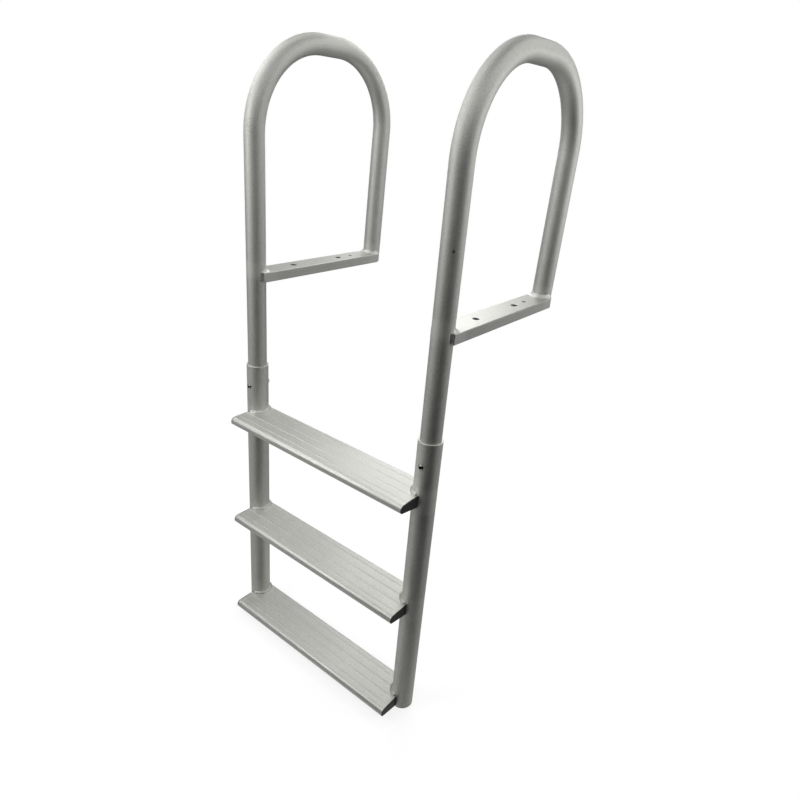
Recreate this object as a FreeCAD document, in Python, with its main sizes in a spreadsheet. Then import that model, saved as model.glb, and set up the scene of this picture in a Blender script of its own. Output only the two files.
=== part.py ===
import FreeCAD
import Part
import math
import os

import Sketcher

# Dock ladder: two inverted-U handrails on flat mounting bars, whose front legs slide into
# larger side rails that carry three welded hollow treads.
# Millimetres, +Z up. The dock side is +Y, the water side is -Y, and +X is to the right
# for someone who climbs up. The origin is on the underside of the left mounting bar,
# halfway between its two large bolt holes, so Z = 0 is the top of the dock.

# Driving dimensions: name, millimetres or degrees, meaning
SIZES = [
    ("rail_spacing", 450.0, "centre to centre of the two side rails"),
    ("handrail_diameter", 38.1, "outside diameter of the handrail tube"),
    ("handrail_wall", 2.1, "wall of the handrail tube"),
    ("rail_wall", 3.0, "wall of the side rail tube"),
    ("rail_clearance", 0.15, "gap all round the handrail inside the side rail"),
    ("bend_height", 268.5, "height of the start of the front bend above the dock"),
    ("front_bend_radius", 164.0, "centreline radius of the handrail's front bend"),
    ("back_bend_radius", 140.5, "centreline radius of the handrail's back bend"),
    ("top_straight", 50.0, "straight run between the two bends"),
    ("back_leg_lean", 2.2, "degrees by which the back leg leans in towards its foot"),
    ("foot_overrun", 12.0, "tube swept past the dock line and cut off level"),
    ("rail_top_drop", 177.0, "top rim of the side rail below the dock line"),
    ("rail_tail", 27.5, "length of side rail below the top of the bottom tread"),
    ("handrail_insertion", 110.0, "length of the handrail inside the side rail"),
    ("rail_rim_chamfer", 0.5, "broken edge of the side rail's cut rim"),
    ("bar_width", 47.6, "width of the mounting bar"),
    ("bar_thickness", 19.05, "thickness of the mounting bar"),
    ("bar_wall", 2.6, "wall of the hollow mounting bar"),
    ("bar_corner", 1.0, "outer corner radius of the mounting bar"),
    ("bar_front_shortfall", 0.5, "bar end short of the front leg's axis"),
    ("bar_back_shortfall", 3.0, "bar end short of the back leg's axis"),
    ("cope_clearance", 0.2, "gap all round a tube in its coped seat"),
    ("first_hole", 98.0, "front leg's axis to the first mounting hole"),
    ("hole_spacing", 133.0, "between the two large mounting holes"),
    ("hole_diameter", 12.7, "large mounting holes"),
    ("small_hole_setback", 39.0, "second large hole to the small hole behind it"),
    ("small_hole_diameter", 8.0, "small hole at the back of the bar"),
    ("first_tread_drop", 281.0, "top face of the top tread below the dock line"),
    ("tread_pitch", 246.0, "between the top faces of neighbouring treads"),
    ("tread_front", 69.5, "tread nose in front of the rail's axis"),
    ("tread_back", 24.6, "tread's rear edge behind the rail's axis"),
    ("tread_thickness", 24.0, "height of the tread section at the rails"),
    ("nose_height", 15.0, "height of the tread section at its nose"),
    ("tread_wall", 2.2, "outer walls of the tread section"),
    ("nose_top_radius", 8.5, "upper rounding of the nose"),
    ("nose_bottom_radius", 5.0, "lower rounding of the nose"),
    ("tread_back_radius", 3.0, "rounding of the tread's rear edges"),
    ("front_web", 24.8, "front web of the tread section, in front of the rail's axis"),
    ("web_thickness", 2.0, "webs inside the tread section"),
    ("grip_rib_width", 2.4, "foot of an anti-slip rib on the tread"),
    ("grip_rib_crest", 0.8, "flat crest of an anti-slip rib"),
    ("grip_rib_height", 0.45, "height of an anti-slip rib"),
    ("grip_rib_pitch", 20.5, "between neighbouring ribs"),
    ("grip_rib_count", 4, "ribs across a tread"),
    ("first_grip_rib", 50.2, "first rib in front of the rail's axis"),
    ("cap_thickness", 2.0, "flange of the tread end cap"),
    ("cap_plug_length", 14.0, "plug of the cap inside the tread"),
    ("cap_plug_wall", 1.8, "wall of the plug"),
    ("cap_clearance", 0.2, "gap round the plug, and between the flange and the rail"),
    ("cap_edge_chamfer", 0.7, "broken outer edge of the cap"),
    ("tread_weld", 5.0, "leg length of the weld round a rail on a tread"),
    ("under_weld", 3.0, "leg length of the weld round a rail below a tread"),
    ("tread_weld_fullness", 0.62, "share of a tread weld's legs at the middle of its face, which bulges"),
    ("bar_weld", 8.0, "leg length of the weld round a handrail leg on a bar"),
    ("bar_weld_fullness", 0.38, "share of a bar weld's legs at the middle of its face, which is hollow"),
    ("end_weld", 6.0, "reach along a leg of the upright welds on a bar's ends"),
    ("end_weld_rise", 3.0, "height by which the upright welds run up into the weld on the bar"),
    ("weld_turn", 176.0, "degrees round a rail that a tread weld reaches"),
    ("bar_weld_turn", 190.0, "degrees round a leg that a bar weld reaches"),
    ("bolt_drop", 223.0, "rail bolt below the dock line"),
    ("bolt_diameter", 6.0, "shank of the rail bolt"),
    ("bolt_clearance", 0.3, "gap all round the bolt in the tubes"),
    ("bolt_head_diameter", 10.5, "domed head of the rail bolt"),
    ("bolt_head_height", 3.3, "height of the domed head"),
    ("socket_across_flats", 4.0, "six-sided socket in the domed head"),
    ("socket_depth", 2.0, "depth of the socket"),
    ("nut_across_flats", 10.0, "rail bolt's nut"),
    ("nut_height", 5.0, "height of the nut"),
    ("nut_face_radius", 4.7, "round land on the nut's outer face"),
    ("nut_chamfer", 30.0, "degrees between the nut's outer face and its broken corners"),
    ("thread_end", 2.0, "bolt end that stands out of the nut"),
    ("vent_diameter", 3.0, "vent hole in the handrail's front leg"),
    ("vent_height", 148.0, "vent hole above the dock line"),
    ("vent_azimuth", 41.0, "degrees of the vent hole from the front, outwards"),
    ("plug_flange", 1.0, "flange of the rail end plug"),
    ("plug_length", 16.0, "plug inside the side rail's end"),
    ("plug_wall", 2.0, "wall of the hollow plug"),
    ("plug_clearance", 0.15, "gap all round the plug in the rail"),
]

# Sizes that follow from the driving dimensions
TUBE_R = "(Sizes.handrail_diameter / 2)"
RAIL_BORE_R = "(%s + Sizes.rail_clearance)" % TUBE_R
RAIL_R = "(%s + Sizes.rail_wall)" % RAIL_BORE_R
LEG_Y = "(-(Sizes.first_hole + Sizes.hole_spacing / 2))"
LEAN = "(Sizes.back_leg_lean * 1 deg)"
LOOP_TOP = "(Sizes.bend_height + Sizes.front_bend_radius)"
LOOP_DEPTH = "(Sizes.front_bend_radius + Sizes.top_straight + Sizes.back_bend_radius * cos(%s))" % LEAN
LEAN_START = "(%s - Sizes.back_bend_radius * (1 + sin(%s)))" % (LOOP_TOP, LEAN)
FOOT_Y = "(%s - %s * tan(%s))" % (LOOP_DEPTH, LEAN_START, LEAN)
FOOT_TOP_Y = "(%s + Sizes.bar_thickness * tan(%s))" % (FOOT_Y, LEAN)
BAR_BACK = "(%s - Sizes.bar_back_shortfall)" % FOOT_Y
BACK_END = "(%s - %s)" % (FOOT_TOP_Y, BAR_BACK)
HANDRAIL_END = "(-Sizes.rail_top_drop - Sizes.handrail_insertion)"
CAP_BACK = "(%s + Sizes.cap_clearance)" % RAIL_R
NOSE_RISE = "(Sizes.tread_thickness - Sizes.nose_height)"
NOSE_SLOPE = "atan(%s / (Sizes.tread_front - %s))" % (NOSE_RISE, CAP_BACK)

# A cutting tool's length, as a multiple of the size that it has to pass
TOOL_REACH = 4
# Millimetres within which an edge counts as lying in a plane, or as level or upright
FLUSH = 0.01

SIDES = ("left", "right")
TREADS = ("top", "middle", "bottom")
RAIL_END_DROP = "(Sizes.first_tread_drop + %d * Sizes.tread_pitch + Sizes.rail_tail)" % (len(TREADS) - 1)

doc = FreeCAD.newDocument("DockLadder")


# Spreadsheet of the driving dimensions
def make_sheet():
    sheet = doc.addObject("Spreadsheet::Sheet", "Sizes")
    for row, (name, value, meaning) in enumerate(SIZES, start=1):
        sheet.set("A%d" % row, name)
        sheet.set("B%d" % row, str(value))
        sheet.set("C%d" % row, meaning)
        sheet.setAlias("B%d" % row, name)
    doc.recompute()
    return sheet


sheet = make_sheet()


def value(expression):
    result = sheet.evalExpression(str(expression).replace("Sizes.", ""))
    return float(getattr(result, "Value", result))


def bind(thing, **expressions):
    for path, expression in expressions.items():
        thing.setExpression(path.replace("__", "."), str(expression))


# Bodies and sketches
def new_body(label, x="0", y=LEG_Y, z="0", turn=0.0):
    body = doc.addObject("PartDesign::Body", label)
    body.Label = label
    body.Placement.Rotation = FreeCAD.Rotation(FreeCAD.Vector(0, 0, 1), turn)
    bind(body, Placement__Base__x=x, Placement__Base__y=y, Placement__Base__z=z)
    return body


def origin_item(body, role):
    return next(item for item in body.Origin.OriginFeatures if item.Role == role)


def new_sketch(body, name, plane, offset="0"):
    sketch = body.newObject("Sketcher::SketchObject", name)
    sketch.AttachmentSupport = [(origin_item(body, plane), "")]
    sketch.MapMode = "FlatFace"
    bind(sketch, AttachmentOffset__Base__z=offset)
    return sketch


def drive(sketch, kind, *references, to):
    start = math.radians(value(to)) if kind == "Angle" else value(to)
    index = sketch.addConstraint(Sketcher.Constraint(kind, *references, start))
    sketch.setExpression("Constraints[%d]" % index, to)


def place_point(sketch, element, end, x, y):
    drive(sketch, "DistanceX", -1, 1, element, end, to=x)
    drive(sketch, "DistanceY", -1, 1, element, end, to=y)


def circle(sketch, radius, x="0", y="0"):
    centre = FreeCAD.Vector(value(x), value(y), 0)
    element = sketch.addGeometry(Part.Circle(centre, FreeCAD.Vector(0, 0, 1), value(radius)), False)
    drive(sketch, "Radius", element, to=radius)
    place_point(sketch, element, 3, x, y)


# Closed outline with a sharp corner at each (x, y)
def polygon(sketch, corners):
    points = [FreeCAD.Vector(value(x), value(y), 0) for x, y in corners]
    edges = [
        sketch.addGeometry(Part.LineSegment(start, end), False)
        for start, end in zip(points, points[1:] + points[:1])
    ]
    for i, edge in enumerate(edges):
        sketch.addConstraint(Sketcher.Constraint("Coincident", edges[i - 1], 2, edge, 1))
        place_point(sketch, edge, 1, *corners[i])


# Closed outline through corners (x, y, radius or None), whose edges are level or upright.
# An edge that isn't has the given slope and ends in a sharp corner.
def outline(sketch, corners, slope=None):
    count = len(corners)
    points = [FreeCAD.Vector(value(x), value(y), 0) for x, y, radius in corners]
    radii = [value(radius) if radius else 0.0 for x, y, radius in corners]
    travel = [(points[(i + 1) % count] - points[i]).normalize() for i in range(count)]
    setbacks = [radii[i] * math.tan(travel[i - 1].getAngle(travel[i]) / 2) for i in range(count)]
    rise = [abs(points[(i + 1) % count].y - points[i].y) for i in range(count)]
    run = [abs(points[(i + 1) % count].x - points[i].x) for i in range(count)]
    edges = []
    for i in range(count):
        j = (i + 1) % count
        start = points[i] + travel[i] * setbacks[i]
        end = points[j] - travel[i] * setbacks[j]
        edges.append(sketch.addGeometry(Part.LineSegment(start, end), False))
    for i in range(count):
        j = (i + 1) % count
        if rise[i] < FLUSH:
            sketch.addConstraint(Sketcher.Constraint("Horizontal", edges[i]))
            drive(sketch, "DistanceY", -1, 1, edges[i], 1, to=corners[i][1])
        elif run[i] < FLUSH:
            sketch.addConstraint(Sketcher.Constraint("Vertical", edges[i]))
            drive(sketch, "DistanceX", -1, 1, edges[i], 1, to=corners[i][0])
        else:
            drive(sketch, "Angle", edges[i], to=slope)
            if rise[j] < FLUSH:
                drive(sketch, "DistanceX", -1, 1, edges[i], 2, to=corners[j][0])
            else:
                drive(sketch, "DistanceY", -1, 1, edges[i], 2, to=corners[j][1])
    for i in range(count):
        before = edges[i - 1]
        after = edges[i]
        if not radii[i]:
            sketch.addConstraint(Sketcher.Constraint("Coincident", before, 2, after, 1))
            continue
        into = travel[i - 1]
        out = travel[i]
        turning_left = (into.x * out.y - into.y * out.x) > 0
        inward = FreeCAD.Vector(-into.y, into.x, 0) if turning_left else FreeCAD.Vector(into.y, -into.x, 0)
        start = points[i] - into * setbacks[i]
        end = points[i] + out * setbacks[i]
        centre = start + inward * radii[i]
        middle = centre + (points[i] - centre).normalize() * radii[i]
        arc = sketch.addGeometry(Part.Arc(start, middle, end), False)
        first, last = (1, 2) if turning_left else (2, 1)
        sketch.addConstraint(Sketcher.Constraint("Tangent", before, 2, arc, first))
        sketch.addConstraint(Sketcher.Constraint("Tangent", arc, last, after, 1))
        drive(sketch, "Radius", arc, to=corners[i][2])


# Solid features
def pad(body, sketch, length, symmetric=False, reverse=False, name="Pad"):
    feature = body.newObject("PartDesign::Pad", name)
    feature.Profile = sketch
    feature.SideType = "Symmetric" if symmetric else "One side"
    feature.Reversed = reverse
    bind(feature, Length=length)
    body.Tip = feature
    return feature


def cut(body, sketch, length, symmetric=False, reverse=False, name="Pocket"):
    feature = body.newObject("PartDesign::Pocket", name)
    feature.Profile = sketch
    feature.SideType = "Symmetric" if symmetric else "One side"
    feature.Reversed = reverse
    bind(feature, Length=length)
    body.Tip = feature
    return feature


def revolve(body, sketch, axis, turn=None, name="Revolution"):
    feature = body.newObject("PartDesign::Revolution", name)
    feature.Profile = sketch
    feature.ReferenceAxis = (sketch, [axis])
    if turn:
        feature.Midplane = True
        bind(feature, Angle=turn)
    body.Tip = feature
    return feature


def stand(body, feature, base, direction):
    feature.Placement.Rotation = FreeCAD.Rotation(FreeCAD.Vector(0, 0, 1), direction)
    bind(feature, Placement__Base__x=base[0], Placement__Base__y=base[1], Placement__Base__z=base[2])
    body.Tip = feature
    return feature


def drill(body, name, radius, length, base, direction):
    tool = body.newObject("PartDesign::SubtractiveCylinder", name)
    bind(tool, Radius=radius, Height=length)
    return stand(body, tool, base, direction)


def hexagon(body, kind, name, across_flats, length, base, direction):
    prism = body.newObject("PartDesign::%sPrism" % kind, name)
    prism.Polygon = 6
    bind(prism, Circumradius="%s / sqrt(3)" % across_flats, Height=length)
    return stand(body, prism, base, direction)


def past(size):
    return "(%d * %s)" % (TOOL_REACH, size)


# Edges of a feature that lie in the plane where an axis reads the given position
def edges_in_plane(feature, axis, position):
    found = []
    for index, edge in enumerate(feature.Shape.Edges, start=1):
        box = edge.BoundBox
        low = getattr(box, axis + "Min")
        high = getattr(box, axis + "Max")
        if abs(low - position) < FLUSH and abs(high - position) < FLUSH:
            found.append("Edge%d" % index)
    return found


def break_edges(body, kind, name, axis, position, **size):
    doc.recompute()
    base = body.Tip
    feature = body.newObject("PartDesign::%s" % kind, name)
    feature.Base = (base, edges_in_plane(base, axis, value(position)))
    bind(feature, **size)
    body.Tip = feature
    return feature


def rail_x(side):
    return "0" if side == "left" else "Sizes.rail_spacing"


def outward(side):
    return -1 if side == "left" else 1


def tread_top(index):
    return "(-Sizes.first_tread_drop - %d * Sizes.tread_pitch)" % index


# Handrail: one tube bent to an inverted U, with its back leg cut level on the dock line
def handrail_path(body):
    sketch = new_sketch(body, "Path", "YZ_Plane")
    front_radius = value("Sizes.front_bend_radius")
    back_radius = value("Sizes.back_bend_radius")
    height = value("Sizes.bend_height")
    top = value(LOOP_TOP)
    lean = math.radians(value("Sizes.back_leg_lean"))
    overrun = value("Sizes.foot_overrun")
    ahead = front_radius + value("Sizes.top_straight")
    lean_start = (value(LOOP_DEPTH), value(LEAN_START))
    foot = (lean_start[0] - (lean_start[1] + overrun) * math.tan(lean), -overrun)
    up = FreeCAD.Vector(0, 0, 1)

    def point(x, y):
        return FreeCAD.Vector(x, y, 0)

    def bend(centre, radius, start, end):
        return Part.ArcOfCircle(Part.Circle(point(*centre), up, radius), start, end)

    front = sketch.addGeometry(Part.LineSegment(point(0, value(HANDRAIL_END)), point(0, height)), False)
    front_bend = sketch.addGeometry(
        bend((front_radius, height), front_radius, math.pi / 2, math.pi), False)
    over = sketch.addGeometry(Part.LineSegment(point(front_radius, top), point(ahead, top)), False)
    back_bend = sketch.addGeometry(
        bend((ahead, top - back_radius), back_radius, -lean, math.pi / 2), False)
    back = sketch.addGeometry(Part.LineSegment(point(*lean_start), point(*foot)), False)

    rule = Sketcher.Constraint
    sketch.addConstraint(rule("Vertical", front))
    sketch.addConstraint(rule("PointOnObject", front, 1, -2))
    drive(sketch, "DistanceY", -1, 1, front, 1, to=HANDRAIL_END)
    sketch.addConstraint(rule("Tangent", front, 2, front_bend, 2))
    drive(sketch, "Radius", front_bend, to="Sizes.front_bend_radius")
    drive(sketch, "DistanceY", -1, 1, front_bend, 3, to="Sizes.bend_height")
    sketch.addConstraint(rule("Tangent", front_bend, 1, over, 1))
    sketch.addConstraint(rule("Horizontal", over))
    drive(sketch, "DistanceX", over, 1, over, 2, to="Sizes.top_straight")
    sketch.addConstraint(rule("Tangent", over, 2, back_bend, 2))
    drive(sketch, "Radius", back_bend, to="Sizes.back_bend_radius")
    sketch.addConstraint(rule("Tangent", back_bend, 1, back, 1))
    drive(sketch, "DistanceX", back_bend, 3, back_bend, 1, to="Sizes.back_bend_radius * cos(%s)" % LEAN)
    drive(sketch, "DistanceY", -1, 1, back, 2, to="-Sizes.foot_overrun")
    return sketch


def make_handrail(side):
    body = new_body("%s_handrail" % side, x=rail_x(side))
    path = handrail_path(body)
    ring = new_sketch(body, "Ring", "XY_Plane", offset=HANDRAIL_END)
    circle(ring, TUBE_R)
    circle(ring, "%s - Sizes.handrail_wall" % TUBE_R)
    tube = body.newObject("PartDesign::AdditivePipe", "Tube")
    tube.Profile = ring
    tube.Spine = path
    body.Tip = tube

    level = new_sketch(body, "FootCutOutline", "XY_Plane")
    reach = "Sizes.handrail_diameter"
    polygon(level, [
        ("-%s" % reach, "%s - %s" % (FOOT_Y, reach)),
        (reach, "%s - %s" % (FOOT_Y, reach)),
        (reach, "%s + %s" % (FOOT_Y, reach)),
        ("-%s" % reach, "%s + %s" % (FOOT_Y, reach)),
    ])
    cut(body, level, past("Sizes.foot_overrun"), name="FootCut")

    bore = new_sketch(body, "BoltHoleOutline", "XZ_Plane")
    circle(bore, "Sizes.bolt_diameter / 2 + Sizes.bolt_clearance", y="-Sizes.bolt_drop")
    cut(body, bore, past("Sizes.handrail_diameter"), symmetric=True, name="BoltHole")

    azimuth = math.radians(value("Sizes.vent_azimuth"))
    direction = FreeCAD.Vector(outward(side) * math.sin(azimuth), -math.cos(azimuth), 0)
    drill(body, "VentHole", "Sizes.vent_diameter / 2", "Sizes.handrail_diameter",
          ("0", "0", "Sizes.vent_height"), direction)
    return body


# Side rail: larger tube over the handrail's lower end
def make_side_rail(side):
    body = new_body("%s_side_rail" % side, x=rail_x(side))
    ring = new_sketch(body, "Ring", "XY_Plane", offset="-%s" % RAIL_END_DROP)
    circle(ring, RAIL_R)
    circle(ring, RAIL_BORE_R)
    pad(body, ring, "%s - Sizes.rail_top_drop" % RAIL_END_DROP, name="Tube")
    bore = new_sketch(body, "BoltHoleOutline", "XZ_Plane")
    circle(bore, "Sizes.bolt_diameter / 2 + Sizes.bolt_clearance", y="-Sizes.bolt_drop")
    cut(body, bore, past(RAIL_R), symmetric=True, name="BoltHole")
    break_edges(body, "Chamfer", "Rim", "Z", "-Sizes.rail_top_drop", Size="Sizes.rail_rim_chamfer")
    return body


# Mounting bar: flat rectangular tube, coped round both legs and drilled for dock bolts
def make_mounting_bar(side):
    body = new_body("%s_mounting_bar" % side, x=rail_x(side))
    section = new_sketch(body, "Section", "XZ_Plane", offset="-Sizes.bar_front_shortfall")
    half = "Sizes.bar_width / 2"
    corner = "Sizes.bar_corner"
    outline(section, [
        ("-%s" % half, "0", corner),
        (half, "0", corner),
        (half, "Sizes.bar_thickness", corner),
        ("-%s" % half, "Sizes.bar_thickness", corner),
    ])
    inner = "%s - Sizes.bar_wall" % half
    polygon(section, [
        ("-(%s)" % inner, "Sizes.bar_wall"),
        (inner, "Sizes.bar_wall"),
        (inner, "Sizes.bar_thickness - Sizes.bar_wall"),
        ("-(%s)" % inner, "Sizes.bar_thickness - Sizes.bar_wall"),
    ])
    pad(body, section, "%s - Sizes.bar_front_shortfall" % BAR_BACK, reverse=True, name="Tube")

    seat = new_sketch(body, "FrontCopeOutline", "XY_Plane")
    circle(seat, "%s + Sizes.cope_clearance" % TUBE_R)
    cut(body, seat, past("Sizes.bar_thickness"), symmetric=True, name="FrontCope")

    lean = math.radians(value("Sizes.back_leg_lean"))
    drill(body, "BackCope", "%s + Sizes.cope_clearance" % TUBE_R, past("Sizes.bar_thickness"),
          ("0", "%s - Sizes.bar_thickness * tan(%s)" % (FOOT_Y, LEAN), "-Sizes.bar_thickness"),
          FreeCAD.Vector(0, math.sin(lean), math.cos(lean)))

    holes = new_sketch(body, "MountingHoleOutlines", "XY_Plane")
    circle(holes, "Sizes.hole_diameter / 2", y="Sizes.first_hole")
    circle(holes, "Sizes.hole_diameter / 2", y="Sizes.first_hole + Sizes.hole_spacing")
    circle(holes, "Sizes.small_hole_diameter / 2",
           y="Sizes.first_hole + Sizes.hole_spacing + Sizes.small_hole_setback")
    cut(body, holes, past("Sizes.bar_thickness"), symmetric=True, name="MountingHoles")
    return body


# Tread section, seen from the right: top face at 0, nose in front, underside sloping up to it
def underside(ahead, inset):
    along = "(Sizes.tread_front - %s) * tan(%s)" % (ahead, NOSE_SLOPE)
    return "-(Sizes.nose_height + %s - %s / cos(%s))" % (along, inset, NOSE_SLOPE)


def nose_corners(inset, back):
    front = "(Sizes.tread_front - %s)" % inset
    top = "-%s" % inset
    return [
        ("-%s" % back, underside(back, inset), None),
        ("-%s" % back, top, None),
        ("-%s" % front, top, "Sizes.nose_top_radius - %s" % inset),
        ("-%s" % front, underside(front, inset), "Sizes.nose_bottom_radius - %s" % inset),
    ]


def nose_outline(sketch, inset, back):
    outline(sketch, nose_corners(inset, back), slope="-%s" % NOSE_SLOPE)


def cell(sketch, front, back):
    top = "-Sizes.tread_wall"
    bottom = "-(Sizes.tread_thickness - Sizes.tread_wall)"
    polygon(sketch, [(front, bottom), (back, bottom), (back, top), (front, top)])


# Tread: hollow section with two webs, ribbed on top and coped round both rails
def make_tread(index):
    body = new_body("%s_tread" % TREADS[index], x="Sizes.rail_spacing / 2", z=tread_top(index))
    section = new_sketch(body, "Section", "YZ_Plane")
    outline(section, [
        ("-%s" % CAP_BACK, "-Sizes.tread_thickness", None),
        ("Sizes.tread_back", "-Sizes.tread_thickness", "Sizes.tread_back_radius"),
        ("Sizes.tread_back", "0", "Sizes.tread_back_radius"),
    ] + nose_corners("0", CAP_BACK)[2:], slope="-%s" % NOSE_SLOPE)
    nose_outline(section, "Sizes.tread_wall", "(Sizes.front_web + Sizes.web_thickness)")
    cell(section, "-Sizes.front_web", "-Sizes.web_thickness / 2")
    cell(section, "Sizes.web_thickness / 2", "Sizes.tread_back - Sizes.tread_wall")
    pad(body, section, "Sizes.rail_spacing", symmetric=True, name="Extrusion")

    rib = new_sketch(body, "GripRibOutline", "YZ_Plane")
    middle = "-Sizes.first_grip_rib"
    root = "-Sizes.tread_wall / 2"
    polygon(rib, [
        ("%s - Sizes.grip_rib_width / 2" % middle, root),
        ("%s + Sizes.grip_rib_width / 2" % middle, root),
        ("%s + Sizes.grip_rib_width / 2" % middle, "0"),
        ("%s + Sizes.grip_rib_crest / 2" % middle, "Sizes.grip_rib_height"),
        ("%s - Sizes.grip_rib_crest / 2" % middle, "Sizes.grip_rib_height"),
        ("%s - Sizes.grip_rib_width / 2" % middle, "0"),
    ])
    first = pad(body, rib, "Sizes.rail_spacing", symmetric=True, name="GripRib")
    pattern = body.newObject("PartDesign::LinearPattern", "GripRibs")
    pattern.Originals = [first]
    pattern.Direction = (origin_item(body, "Y_Axis"), [""])
    bind(pattern, Length="Sizes.grip_rib_pitch * (Sizes.grip_rib_count - 1)", Occurrences="Sizes.grip_rib_count")
    body.Tip = pattern

    for name, plane, radius, depth in (
            ("Cope", "-Sizes.tread_thickness", "%s + Sizes.cope_clearance" % RAIL_R, "Sizes.tread_thickness"),
            ("WeldRoom", "0", "%s + Sizes.tread_weld" % RAIL_R, "Sizes.grip_rib_height")):
        rounds = new_sketch(body, "%sOutlines" % name, "XY_Plane", offset=plane)
        circle(rounds, radius, x="-Sizes.rail_spacing / 2")
        circle(rounds, radius, x="Sizes.rail_spacing / 2")
        cut(body, rounds, past(depth), reverse=True, name="%ss" % name)
    return body


# Tread end cap: moulded flange over the open nose with a hollow plug inside it
def make_cap(index, side):
    label = "%s_tread_%s_cap" % (TREADS[index], side)
    facing = outward(side) > 0
    body = new_body(label, x=rail_x(side), z=tread_top(index))
    plate = new_sketch(body, "FlangeOutline", "YZ_Plane")
    nose_outline(plate, "0", CAP_BACK)
    pad(body, plate, "Sizes.cap_thickness", reverse=not facing, name="Flange")
    outer_face = "Sizes.cap_thickness" if facing else "-Sizes.cap_thickness"
    break_edges(body, "Chamfer", "OuterEdge", "X", outer_face, Size="Sizes.cap_edge_chamfer")
    inset = "(Sizes.tread_wall + Sizes.cap_clearance)"
    hollow = "(%s + Sizes.cap_plug_wall)" % inset
    back = "(Sizes.front_web + Sizes.web_thickness + Sizes.cap_clearance)"
    plug = new_sketch(body, "PlugOutline", "YZ_Plane")
    nose_outline(plug, inset, back)
    nose_outline(plug, hollow, "(%s + Sizes.cap_plug_wall)" % back)
    pad(body, plug, "Sizes.cap_plug_length", reverse=facing, name="Plug")
    return body


# Weld bead: a fillet run part of the way round a leg or a rail
def bead_profile(body, radius, leg, fullness, below):
    sketch = new_sketch(body, "BeadOutline", "XZ_Plane")
    sign = "-" if below else ""
    crown = "%s * %s" % (fullness, leg)
    polygon(sketch, [
        (radius, "0"),
        ("%s + %s" % (radius, leg), "0"),
        ("%s + %s" % (radius, crown), sign + crown),
        (radius, sign + leg),
    ])
    return sketch


def make_weld(label, radius, leg, fullness, turn, x, y, z, facing, below=False):
    body = new_body(label, x=x, y=y, z=z, turn=facing)
    profile = bead_profile(body, radius, leg, fullness, below)
    revolve(body, profile, "V_Axis", turn=turn, name="Bead")
    return body


def make_tread_welds(index, side):
    facing = 0.0 if side == "left" else 180.0
    top = tread_top(index)
    for face, leg, height in (("upper", "Sizes.tread_weld", top),
                              ("lower", "Sizes.under_weld", "%s - Sizes.tread_thickness" % top)):
        make_weld("%s_tread_%s_%s_weld" % (TREADS[index], side, face), RAIL_R, leg, "Sizes.tread_weld_fullness",
                  "Sizes.weld_turn", rail_x(side), LEG_Y, height, facing, below=face == "lower")


# A bar is welded to a leg on its top, flush with its sides, and upright at its two coped ends.
# The end is the distance from the leg's axis to the bar's end.
def add_end_welds(body, end):
    outlines = new_sketch(body, "EndBeadOutlines", "XY_Plane", offset="Sizes.end_weld_rise")
    reach = "(%s - Sizes.end_weld)" % end
    side = "(Sizes.bar_width / 2 - Sizes.bar_corner)"
    on_leg = "sqrt(%s ^ 2 - %s ^ 2)" % (TUBE_R, reach)
    for sign in ("", "-"):
        polygon(outlines, [
            (end, sign + side),
            (reach, sign + on_leg),
            (end, sign + on_leg),
        ])
    pad(body, outlines, "Sizes.bar_thickness + Sizes.end_weld_rise", reverse=True, name="EndBeads")


def make_bar_welds(side):
    leg_length = past("Sizes.bar_thickness")
    below = "%s / 2" % leg_length
    for leg, y, facing, end, lean in (
            ("front", LEG_Y, 90.0, "Sizes.bar_front_shortfall", "0 deg"),
            ("back", "%s + %s" % (LEG_Y, FOOT_TOP_Y), -90.0, BACK_END, LEAN)):
        body = make_weld("%s_%s_leg_weld" % (side, leg), TUBE_R, "Sizes.bar_weld", "Sizes.bar_weld_fullness",
                         "Sizes.bar_weld_turn", rail_x(side), y, "Sizes.bar_thickness", facing)
        add_end_welds(body, end)
        trim = new_sketch(body, "SideTrimOutlines", "XY_Plane")
        edge = "Sizes.bar_width / 2"
        for sign in ("", "-"):
            polygon(trim, [
                ("-Sizes.bar_width", "%s(%s)" % (sign, edge)),
                ("Sizes.bar_width", "%s(%s)" % (sign, edge)),
                ("Sizes.bar_width", "%s(Sizes.bar_width)" % sign),
                ("-Sizes.bar_width", "%s(Sizes.bar_width)" % sign),
            ])
        cut(body, trim, past("Sizes.bar_weld"), symmetric=True, name="SideTrim")
        leans = math.radians(value(lean))
        drill(body, "LegSeat", TUBE_R, leg_length,
              ("%s * sin(%s)" % (below, lean), "0", "-%s * cos(%s)" % (below, lean)),
              FreeCAD.Vector(-math.sin(leans), 0, math.cos(leans)))


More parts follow.
